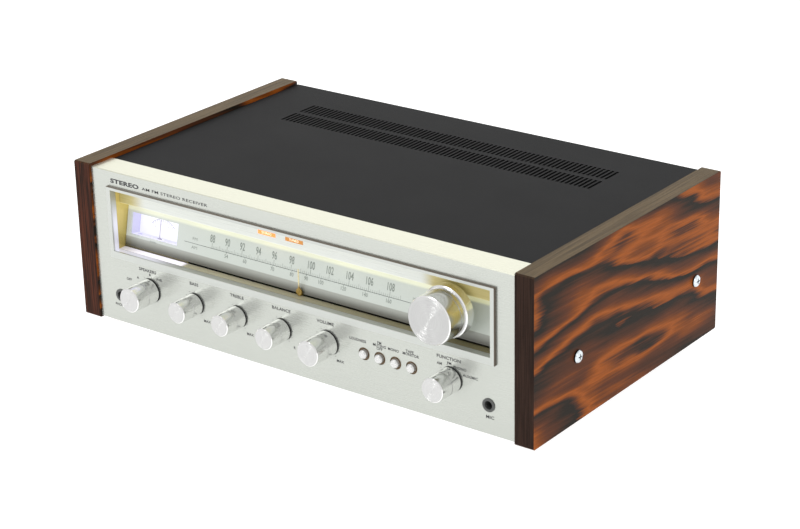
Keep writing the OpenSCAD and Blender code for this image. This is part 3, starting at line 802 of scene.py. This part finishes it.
class RECEIVER_OT_meter(Maker, bpy.types.Operator):
    """Signal meter: lit case, printed card and thin needle"""
    bl_idname = "receiver.meter"
    bl_label = "Signal meter"

    def make(self, scene):
        mid = centre("meter_body")[0]
        f = Finish("meter_case_glow", (0.46, 0.46, 0.54), 0.5, Emission_Strength=0.5)
        soft = f.blend(f.grain(0.15), (0.78, 0.78, 0.98), (0.95, 0.95, 1.0))
        # Painted glow: the case glows in the meter's light, dimmer and more violet on the walls
        # that face right.
        left_wall = f.facing(0).ramp(0.4, 0.8)
        f.set("Emission Color", f.mix(left_wall, soft, (0.46, 0.44, 0.74)))
        dress(f.material, "meter_body")
        g = Finish("meter_card_glow", (0.50, 0.50, 0.53), 0.55, Emission_Strength=0.56)
        away = abs(g.place()[0] - mid)
        g.set("Emission Color", g.blend(away, WHITE, (0.80, 0.80, 1.0), 6.0, 26.0))
        g.bump(g.grain(2.0, 3), 0.04)
        dress(g.material, "meter_scale")
        bm = bmesh.new()
        at = leaning_at(10.2)
        pivot, r = 2.4, 16.6        # of the needle's arc, measured up the dial plate
        arc = [math.radians(a) for a in range(-46, 47, 2)]
        for a, b in zip(arc, arc[1:]):
            thick = 1.1 if abs(a + b) < 0.28 else 0.34      # bolder round the middle
            quad = [at(mid + q * math.sin(t), pivot + q * math.cos(t), 0.05)
                    for q, t in ((r, a), (r, b), (r + thick, b), (r + thick, a))]
            bm.faces.new([bm.verts.new(p) for p in quad])
        for i, a in enumerate(range(-40, 41, 8)):
            t = math.radians(a)
            for q in (0.0, 0.25, 0.5, 0.75):
                u = mid + (r - 0.3 - q * 2) * math.sin(t)
                v = pivot + (r - 0.3 - q * 2) * math.cos(t)
                add_box(bm, at, u - 0.11, u + 0.11, v - 0.3, v + 0.3)
            if i % 2 == 0:
                add_words(bm, at, str(i // 2), mid + 13.0 * math.sin(t),
                          pivot + 12.6 * math.cos(t), 1.5)
        h = Finish("meter_ink", (0.10, 0.10, 0.16), 0.6, Emission_Strength=0.36)
        h.set("Base Color", h.blend(h.grain(1.0), (0.10, 0.10, 0.17), (0.18, 0.18, 0.27)))
        h.set("Emission Color", (0.5, 0.5, 0.75))
        solid("meter_print", bm, h.material, "cabinet", "meter_scale")
        n = Finish("needle_paint", (0.40, 0.38, 0.50), 0.4)
        x, y, z = n.place()
        n.set("Base Color", n.blend(n.noise(x * 2, y * 2, z), (0.38, 0.35, 0.48),
                                    (0.50, 0.47, 0.62)))
        dress(n.material, "meter_needle")


# ---------------------------------------------------------------- controls

class RECEIVER_OT_knobs(Maker, bpy.types.Operator):
    """Spun aluminium knobs; the six small ones have an index line and a dark ring as painted
    shade in the gap behind them
    """
    bl_idname = "receiver.knobs"
    bl_label = "Knobs"

    def make(self, scene):
        c = scene.receiver_controls
        dark = paint("index_and_shade_black", (0.008, 0.008, 0.009), 0.6, 4.0, 0.1, 0.15)
        for name, (cx, _, cz) in KNOBS.items():
            node = name + "_knob"
            # Share of the metal colour that the painted shade leaves on the knob face
            share = 0.49 if name == "tuning" else 0.57
            dress(spun(name + "_spun", c.metal, cx, cz, share), node)
            if name == "tuning":
                continue
            low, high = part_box(node)
            front, back = low.y / MM, high.y / MM
            half = (back - front) / 2
            base = (high.x - low.x) / 2 / MM
            tip = base - (0.3 if name in ("speakers", "volume", "function") else 0.4)
            inset, length, sink = 0.7, 4.2, 0.06        # of the index line on the knob's side
            bm = bmesh.new()

            def along(u, v, w):
                r = tip + (base - tip) * v / half
                return Vector((cx + u, front + inset + v, cz + r - sink + w)) * MM
            add_box(bm, along, -0.3, 0.3, 0.0, length, 0.10)
            solid(name + "_index", bm, dark, name, node)
            # Painted shade: a black ring in the gap between knob and faceplate stands for the
            # shadow there.
            bm = bmesh.new()
            add_turned(bm, [(base - 0.5, 0.0), (base - 0.05, 0.2), (base - 0.05, 1.1),
                            (base - 0.3, 1.2)], about(cx, back + 0.1, cz), 72)
            solid(name + "_skirt", bm, dark, name, node, True)


class RECEIVER_OT_buttons(Maker, bpy.types.Operator):
    """Push button caps, the rings round them and their switches"""
    bl_idname = "receiver.buttons"
    bl_label = "Push buttons"

    def make(self, scene):
        c = scene.receiver_controls
        f = Finish("button_silver", c.cap, 0.26, 0.6)
        fine = f.grain(3.0, 3)
        f.set("Base Color", f.blend(fine, dim(c.cap, 0.93), c.cap))
        f.rough(fine, 0.22, 0.32)
        dress(f.bump(fine, 0.05).material, *BUTTONS)
        dress(moulded("switch_moulding", (0.06, 0.07, 0.045), 0.5), "switch_block")
        bm = bmesh.new()
        for node in BUTTONS:
            cx, _, cz = centre(node)
            add_turned(bm, [(4.96, 0.1), (4.96, 0.8), (3.52, 0.8), (3.52, 0.5)],
                       about(cx, FACE_Y, cz), caps=False)
        solid("button_wells", bm, moulded("well_moulding", (0.15, 0.095, 0.045), 0.6),
              "cabinet", "switch_block", True)


class RECEIVER_OT_jacks(Maker, bpy.types.Operator):
    """Front jacks with two nickel contact rings inside each"""
    bl_idname = "receiver.jacks"
    bl_label = "Front jacks"

    def make(self, scene):
        dress(moulded("jack_moulding", (0.065, 0.068, 0.065), 0.42), "front_jacks")
        soften(0.0003, "front_jacks")
        bm = bmesh.new()
        low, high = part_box("front_jacks")
        for x in (low.x / MM + 8, high.x / MM - 8):
            for depth in (7, 18):       # sleeve contact, then ring contact
                add_turned(bm, [(3.25, 0), (2.9, 0.15), (2.9, 1.2), (3.25, 1.4)],
                           about(x, FACE_Y + depth, JACK_Z), 40, False)
        solid("jack_contacts", bm, plated("contact_nickel", (0.66, 0.62, 0.52), 0.25),
              "cabinet", "rca_jacks", True)


class RECEIVER_OT_front_lettering(Maker, bpy.types.Operator):
    """Printed words beside the controls"""
    bl_idname = "receiver.front_lettering"
    bl_label = "Front lettering"

    def make(self, scene):
        c = scene.receiver_controls
        large = c.letter / MM
        small = large * 0.86
        x = {name: place[0] for name, place in KNOBS.items()}
        title, row, step = 63.6, 57.0, 2.3      # heights of the knob titles and button rows
        words = [("SPEAKERS", x["speakers"] - 1.7, title, large),
                 ("BASS", x["bass"], title, large), ("TREBLE", x["treble"], title, large),
                 ("BALANCE", x["balance"], title, large),
                 ("VOLUME", x["volume"] - 1.4, title - 0.4, large),
                 ("FUNCTION", x["function"] - 1.6, title - 0.7, large),
                 ("OFF", -166.0, 52.0, small), ("A", -156.5, 55.5, small),
                 ("B", -143.5, 60.6, small), ("A+B", -134.0, 58.6, small),
                 ("AM", 133.7, 57.3, small), ("FM", 142.2, 59.3, small),
                 ("PHONO", 151.4, 57.5, small), ("AUX/MIC", 160.4, 53.2, small),
                 ("LOUDNESS", 60.6, row, small), ("FM", 80.4, row + step, small),
                 ("MUTING", 80.4, row, small), ("OFF", 80.4, row - step, small),
                 ("MONO", 92.9, row, small), ("TAPE", 107.6, row + step, small),
                 ("MONITOR", 108.4, row, small), ("PHONES", -177.0, 27.4, small),
                 ("MIC", 177.0, 26.6, large)]
        turning = ("bass", "treble", "balance", "volume")
        spread, ends_z = 11.6, 35.2             # of the words at the ends of a knob's turn
        for name in turning:
            most, least = ("R", "L") if name == "balance" else ("MAX", "MIN")
            words += [(most, x[name] + spread, ends_z, small),
                      (least, x[name] - spread, ends_z, small)]
        bm = bmesh.new()
        at = front_at(FACE_Y + 0.01)
        for text, u, v, size in words:
            add_words(bm, at, text, u, v, size, 1.16 if size == large else 1.02, bold=0.035)
        add_words(bm, at, "STEREO", -179.0, 131.7, 3.3, 1.75, "LEFT", 0.06)
        add_words(bm, at, "AM FM STEREO RECEIVER", -146.0, 131.5, 2.3, 1.72, "LEFT", 0.02)
        marks = dict.fromkeys(turning, range(-140, 141, 28))
        dot = 0.26                              # half the width of a mark
        marks.update(speakers=(-75, -30, 10, 50), function=(-50, -16, 17, 50))
        for name, angles in marks.items():
            low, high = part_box(name + "_knob")
            reach = (high.x - low.x) / 2 / MM + 1.5
            for angle in angles:
                u = x[name] + reach * math.sin(math.radians(angle))
                v = KNOBS[name][2] + reach * math.cos(math.radians(angle))
                add_box(bm, at, u - dot, u + dot, v - dot, v + dot, INK)
        solid("front_lettering", bm, ink("front_ink", c.ink, 0.7, 1.3, 0.55), "cabinet",
              "faceplate")


# ---------------------------------------------------------------- works and rear

class RECEIVER_OT_tuning_works(Maker, bpy.types.Operator):
    """Shafts, flywheel, bracket, cord drum, capacitor and pulleys"""
    bl_idname = "receiver.tuning_works"
    bl_label = "Tuning works"

    def make(self, scene):
        dress(plated("shaft_steel", (0.58, 0.58, 0.57), 0.22), *(n + "_shaft" for n in KNOBS))
        dress(paint("flywheel_iron", (0.10, 0.10, 0.105), 0.5, 1.2, 0.3), "flywheel")
        dress(plated("bracket_plate", (0.62, 0.60, 0.52), 0.32), "tuning_bracket")
        dress(moulded("drum_nylon", (0.70, 0.66, 0.54), 0.46), "dial_drum",
              "pulley_left", "pulley_right")
        dress(plated("capacitor_vanes", (0.70, 0.70, 0.71), 0.3), "tuning_capacitor")
        dress(moulded("control_bodies", (0.09, 0.08, 0.065), 0.48), "controls")
        dress(plated("nut_plate", (0.60, 0.52, 0.32), 0.3), "control_nuts")


class RECEIVER_OT_electronics(Maker, bpy.types.Operator):
    """Transformer, capacitors, heat sink and circuit boards"""
    bl_idname = "receiver.electronics"
    bl_label = "Electronics"

    def make(self, scene):
        f = Finish("core_varnish", (0.05, 0.05, 0.055), 0.42)
        sheets = (f.place()[1] * 9.0).sin().ramp(-0.6, 0.6)
        f.set("Base Color", f.mix(sheets, (0.030, 0.031, 0.034), (0.075, 0.073, 0.07)))
        f.rough(f.grain(1.0), 0.36, 0.52)
        dress(f.bump(sheets, 0.2, 0.0002).material, "transformer")
        f = Finish("capacitor_sleeve", (0.02, 0.025, 0.07), 0.3)
        _, _, z = f.place()
        band = z.ramp(60.0, 61.0) - z.ramp(64.0, 65.0)
        f.set("Base Color", f.mix(band, (0.018, 0.022, 0.065), (0.55, 0.56, 0.58)))
        f.rough(f.grain(1.0), 0.26, 0.38)
        dress(f.material, "filter_caps")
        dress(paint("heatsink_anodised", (0.045, 0.046, 0.05), 0.42, 3.0, 0.1), "heatsink")
        f = Finish("board_laminate", (0.10, 0.16, 0.05), 0.4)
        x, y, z = f.place()
        trace = f.noise(x * 0.12, y * 0.5, z * 0.2, 2)
        parts = z.ramp(24.4, 24.8)
        lay = f.mix((trace * 18.0).sin().ramp(0.2, 0.5), (0.055, 0.11, 0.035),
                    (0.12, 0.19, 0.06))
        f.set("Base Color", f.mix(parts, lay, (0.03, 0.035, 0.06)))
        f.rough(trace, 0.32, 0.5)
        dress(f.bump(trace, 0.1, 0.0002).material, "circuit_boards")


class RECEIVER_OT_rear_fittings(Maker, bpy.types.Operator):
    """Sockets, terminals and the swinging rod antenna on the rear"""
    bl_idname = "receiver.rear_fittings"
    bl_label = "Rear fittings"

    def make(self, scene):
        dress(plated("jack_nickel", (0.68, 0.64, 0.54), 0.24), "rca_jacks")
        dress(moulded("terminal_moulding", (0.024, 0.024, 0.026), 0.44), "rear_terminals",
              "ac_outlets")
        soften(0.0004, "ac_outlets")
        dress(plated("bracket_grey", (0.30, 0.30, 0.32), 0.36), "antenna_bracket")
        f = Finish("antenna_moulding", (0.03, 0.03, 0.033), 0.4)
        x, _, _ = f.place()
        wound = abs(x + 25.0).ramp(42.0, 40.0)
        turns = (x * 8.0).sin().ramp(-0.5, 0.5)
        f.set("Base Color", f.mix(wound, (0.030, 0.030, 0.033),
                                  f.mix(turns, (0.20, 0.075, 0.03), (0.42, 0.19, 0.08))))
        f.rough(f.grain(1.0), 0.34, 0.5)
        dress(f.bump(turns * wound, 0.3, 0.0002).material, "am_antenna")
        for tag, z, tint in (("right", 40, (0.45, 0.02, 0.02)), ("left", 58, (0.75, 0.75, 0.72))):
            bm = bmesh.new()
            for x in range(-150, -77, 18):
                add_turned(bm, [(1.7, 0.1), (1.7, 0.3), (3.3, 0.3), (3.3, 0.1)],
                           about(x, REAR_Y + 8.9, z), 32, False)
            solid("jack_inserts_" + tag, bm, moulded("insert_" + tag, tint, 0.4), "cabinet",
                  "rca_jacks")
        for tag, z, tint in (("plus", 55, (0.42, 0.02, 0.02)), ("minus", 41, (0.02, 0.02, 0.02))):
            bm = bmesh.new()
            for x in range(30, 82, 17):
                at = about(x, REAR_Y + 5, z)

                def knurled(u, v, w):
                    swell = 1.0 + 0.05 * math.cos(math.atan2(v, u) * 18)
                    return at(u * swell, v * swell, w)
                add_turned(bm, [(4.6, 1.5), (4.9, 1.9), (4.9, 6.2), (4.4, 7.2), (2.4, 7.6)],
                           knurled, 108)
            solid("binding_caps_" + tag, bm, moulded("cap_" + tag, tint, 0.34), "cabinet",
                  "rear_terminals", True)
        bm = bmesh.new()
        for x in range(-32, 14, 15):
            at = about(x, REAR_Y + 9.9, 85)
            add_turned(bm, [(3.3, 0.0), (3.2, 1.0), (1.5, 1.5)], at, 30)
            add_box(bm, raised(at, 1.42), -2.2, 2.2, -0.4, 0.4, 0.14)
        solid("terminal_screws", bm, plated("screw_nickel", (0.64, 0.62, 0.56), 0.28),
              "cabinet", "rca_jacks", True)
        bm = bmesh.new()
        at = rear_at(REAR_Y + 0.01)
        for text, x, z in (("PHONO", -150, 68), ("AUX", -132, 68), ("TAPE REC", -114, 68),
                           ("PLAY", -96, 68), ("MIC", -78, 68), ("SPEAKERS", 55, 68),
                           ("ANTENNA", -10, 97), ("GND", -150, 94), ("FUSE", 150, 96),
                           ("AC OUTLETS", 133, 76)):
            add_words(bm, at, text, -x, z, 2.0, 1.1)
        solid("rear_lettering", bm, paint("rear_ink", (0.62, 0.62, 0.60), 0.6), "cabinet",
              "rear_panel")


# ---------------------------------------------------------------- stage

class RECEIVER_OT_stage(Maker, bpy.types.Operator):
    """Pale floor, soft lights and the camera"""
    bl_idname = "receiver.stage"
    bl_label = "Stage"

    def make(self, scene):
        s = scene.receiver_stage
        bm = bmesh.new()
        floor_z = -0.0004       # just under the feet
        profile = ((-3.0, floor_z), (1.6, floor_z), (2.1, 0.04), (2.5, 0.16), (2.8, 0.4),
                   (2.95, 0.8), (3.0, 3.0))
        edge = [[bm.verts.new((x, y, z)) for x in (-4.0, 4.0)] for y, z in profile]
        for a, b in zip(edge, edge[1:]):
            bm.faces.new((a[0], a[1], b[1], b[0]))
        mesh = bpy.data.meshes.new("studio_floor")
        bm.to_mesh(mesh)
        bm.free()
        for face in mesh.polygons:
            face.use_smooth = True
        f = Finish("studio_paper", s.floor, 0.85, Specular_IOR_Level=0.0, Emission_Strength=0.86)
        f.rough(f.grain(1.0), 0.82, 0.9)
        f.set("Emission Color", WHITE)
        mesh.materials.append(f.material)
        floor = bpy.data.objects.new("studio_floor", mesh)
        scene.collection.objects.link(floor)

        world = bpy.data.worlds.new("studio")
        scene.world = world
        world.use_nodes = True
        sky = world.node_tree.nodes["Background"]
        sky.inputs["Color"].default_value = (1.0, 1.0, 1.0, 1.0)
        sky.inputs["Strength"].default_value = 0.84
        for name, place, aim, size, power in (
                ("overhead", (-0.3, -0.2, 1.9), (0, 0.0, 0.1), 1.6, s.key),
                ("front_box", (-0.24, -1.42, 0.30), (0.05, -0.1, 0.07), 0.34, s.key * 0.18),
                ("left_box", (-1.3, -1.2, 0.5), (0.05, -0.1, 0.09), 0.8, s.key * 0.22),
                ("right_box", (2.0, -0.5, 0.9), (0.2, 0.0, 0.07), 1.1, s.key * 0.4)):
            lamp = bpy.data.lights.new(name, "AREA")
            lamp.shape = "SQUARE"
            lamp.size = size
            lamp.energy = power
            light = bpy.data.objects.new(name, lamp)
            light.location = place
            way = Vector(aim) - Vector(place)
            light.rotation_euler = way.to_track_quat("-Z", "Y").to_euler()
            scene.collection.objects.link(light)

        turn, lift, roll = (math.radians(v) for v in (37.15, 22.18, 1.21))
        back = Vector((math.sin(turn) * math.cos(lift), -math.cos(turn) * math.cos(lift),
                       math.sin(lift)))
        right = (-back).cross(Vector((0, 0, 1))).normalized()
        down = (-back).cross(right)
        across = right * math.cos(roll) + down * math.sin(roll)
        drop = down * math.cos(roll) - right * math.sin(roll)
        camera = bpy.data.cameras.new("camera")
        camera.lens = s.lens
        camera.sensor_width = 36
        camera.clip_start = 0.05
        camera.clip_end = 30
        holder = bpy.data.objects.new("camera", camera)
        spot = Matrix.Translation((0.9706, FACE_Y * MM - 1.1483, 0.7125))
        holder.matrix_world = spot @ Matrix((across, -drop, back)).transposed().to_4x4()
        scene.collection.objects.link(holder)
        scene.camera = holder
        scene.view_settings.view_transform = "Standard"


# ---------------------------------------------------------------- add-on

MAKERS = (RECEIVER_OT_wood_panels, RECEIVER_OT_faceplate, RECEIVER_OT_case,
          RECEIVER_OT_case_screws, RECEIVER_OT_dial, RECEIVER_OT_dial_scale,
          RECEIVER_OT_meter, RECEIVER_OT_knobs, RECEIVER_OT_buttons, RECEIVER_OT_jacks,
          RECEIVER_OT_front_lettering, RECEIVER_OT_tuning_works, RECEIVER_OT_electronics,
          RECEIVER_OT_rear_fittings, RECEIVER_OT_stage)


class RECEIVER_PT_panel(bpy.types.Panel):
    """Lists the receiver's settings and makers"""
    bl_idname = "RECEIVER_PT_panel"
    bl_label = "Stereo receiver"
    bl_space_type = "VIEW_3D"
    bl_region_type = "UI"
    bl_category = "Receiver"

    def draw(self, context):
        for group in (context.scene.receiver_cabinet, context.scene.receiver_dial,
                      context.scene.receiver_controls, context.scene.receiver_stage):
            for key in group.bl_rna.properties.keys():
                if key not in ("rna_type", "name"):
                    self.layout.prop(group, key)
        for maker in MAKERS:
            self.layout.operator(maker.bl_idname)


GROUPS = {"receiver_cabinet": ReceiverCabinetSettings, "receiver_dial": ReceiverDialSettings,
          "receiver_controls": ReceiverControlSettings, "receiver_stage": ReceiverStageSettings}


def register():
    for kind in (*GROUPS.values(), *MAKERS, RECEIVER_PT_panel):
        bpy.utils.register_class(kind)
    for name, kind in GROUPS.items():
        setattr(bpy.types.Scene, name, PointerProperty(type=kind))


def unregister():
    for name in GROUPS:
        delattr(bpy.types.Scene, name)
    for kind in reversed((*GROUPS.values(), *MAKERS, RECEIVER_PT_panel)):
        bpy.utils.unregister_class(kind)


def main():
    register()
    for maker in MAKERS:
        call = bpy.ops
        for part in maker.bl_idname.split("."):
            call = getattr(call, part)
        call()


if __name__ == "__main__":
    main()
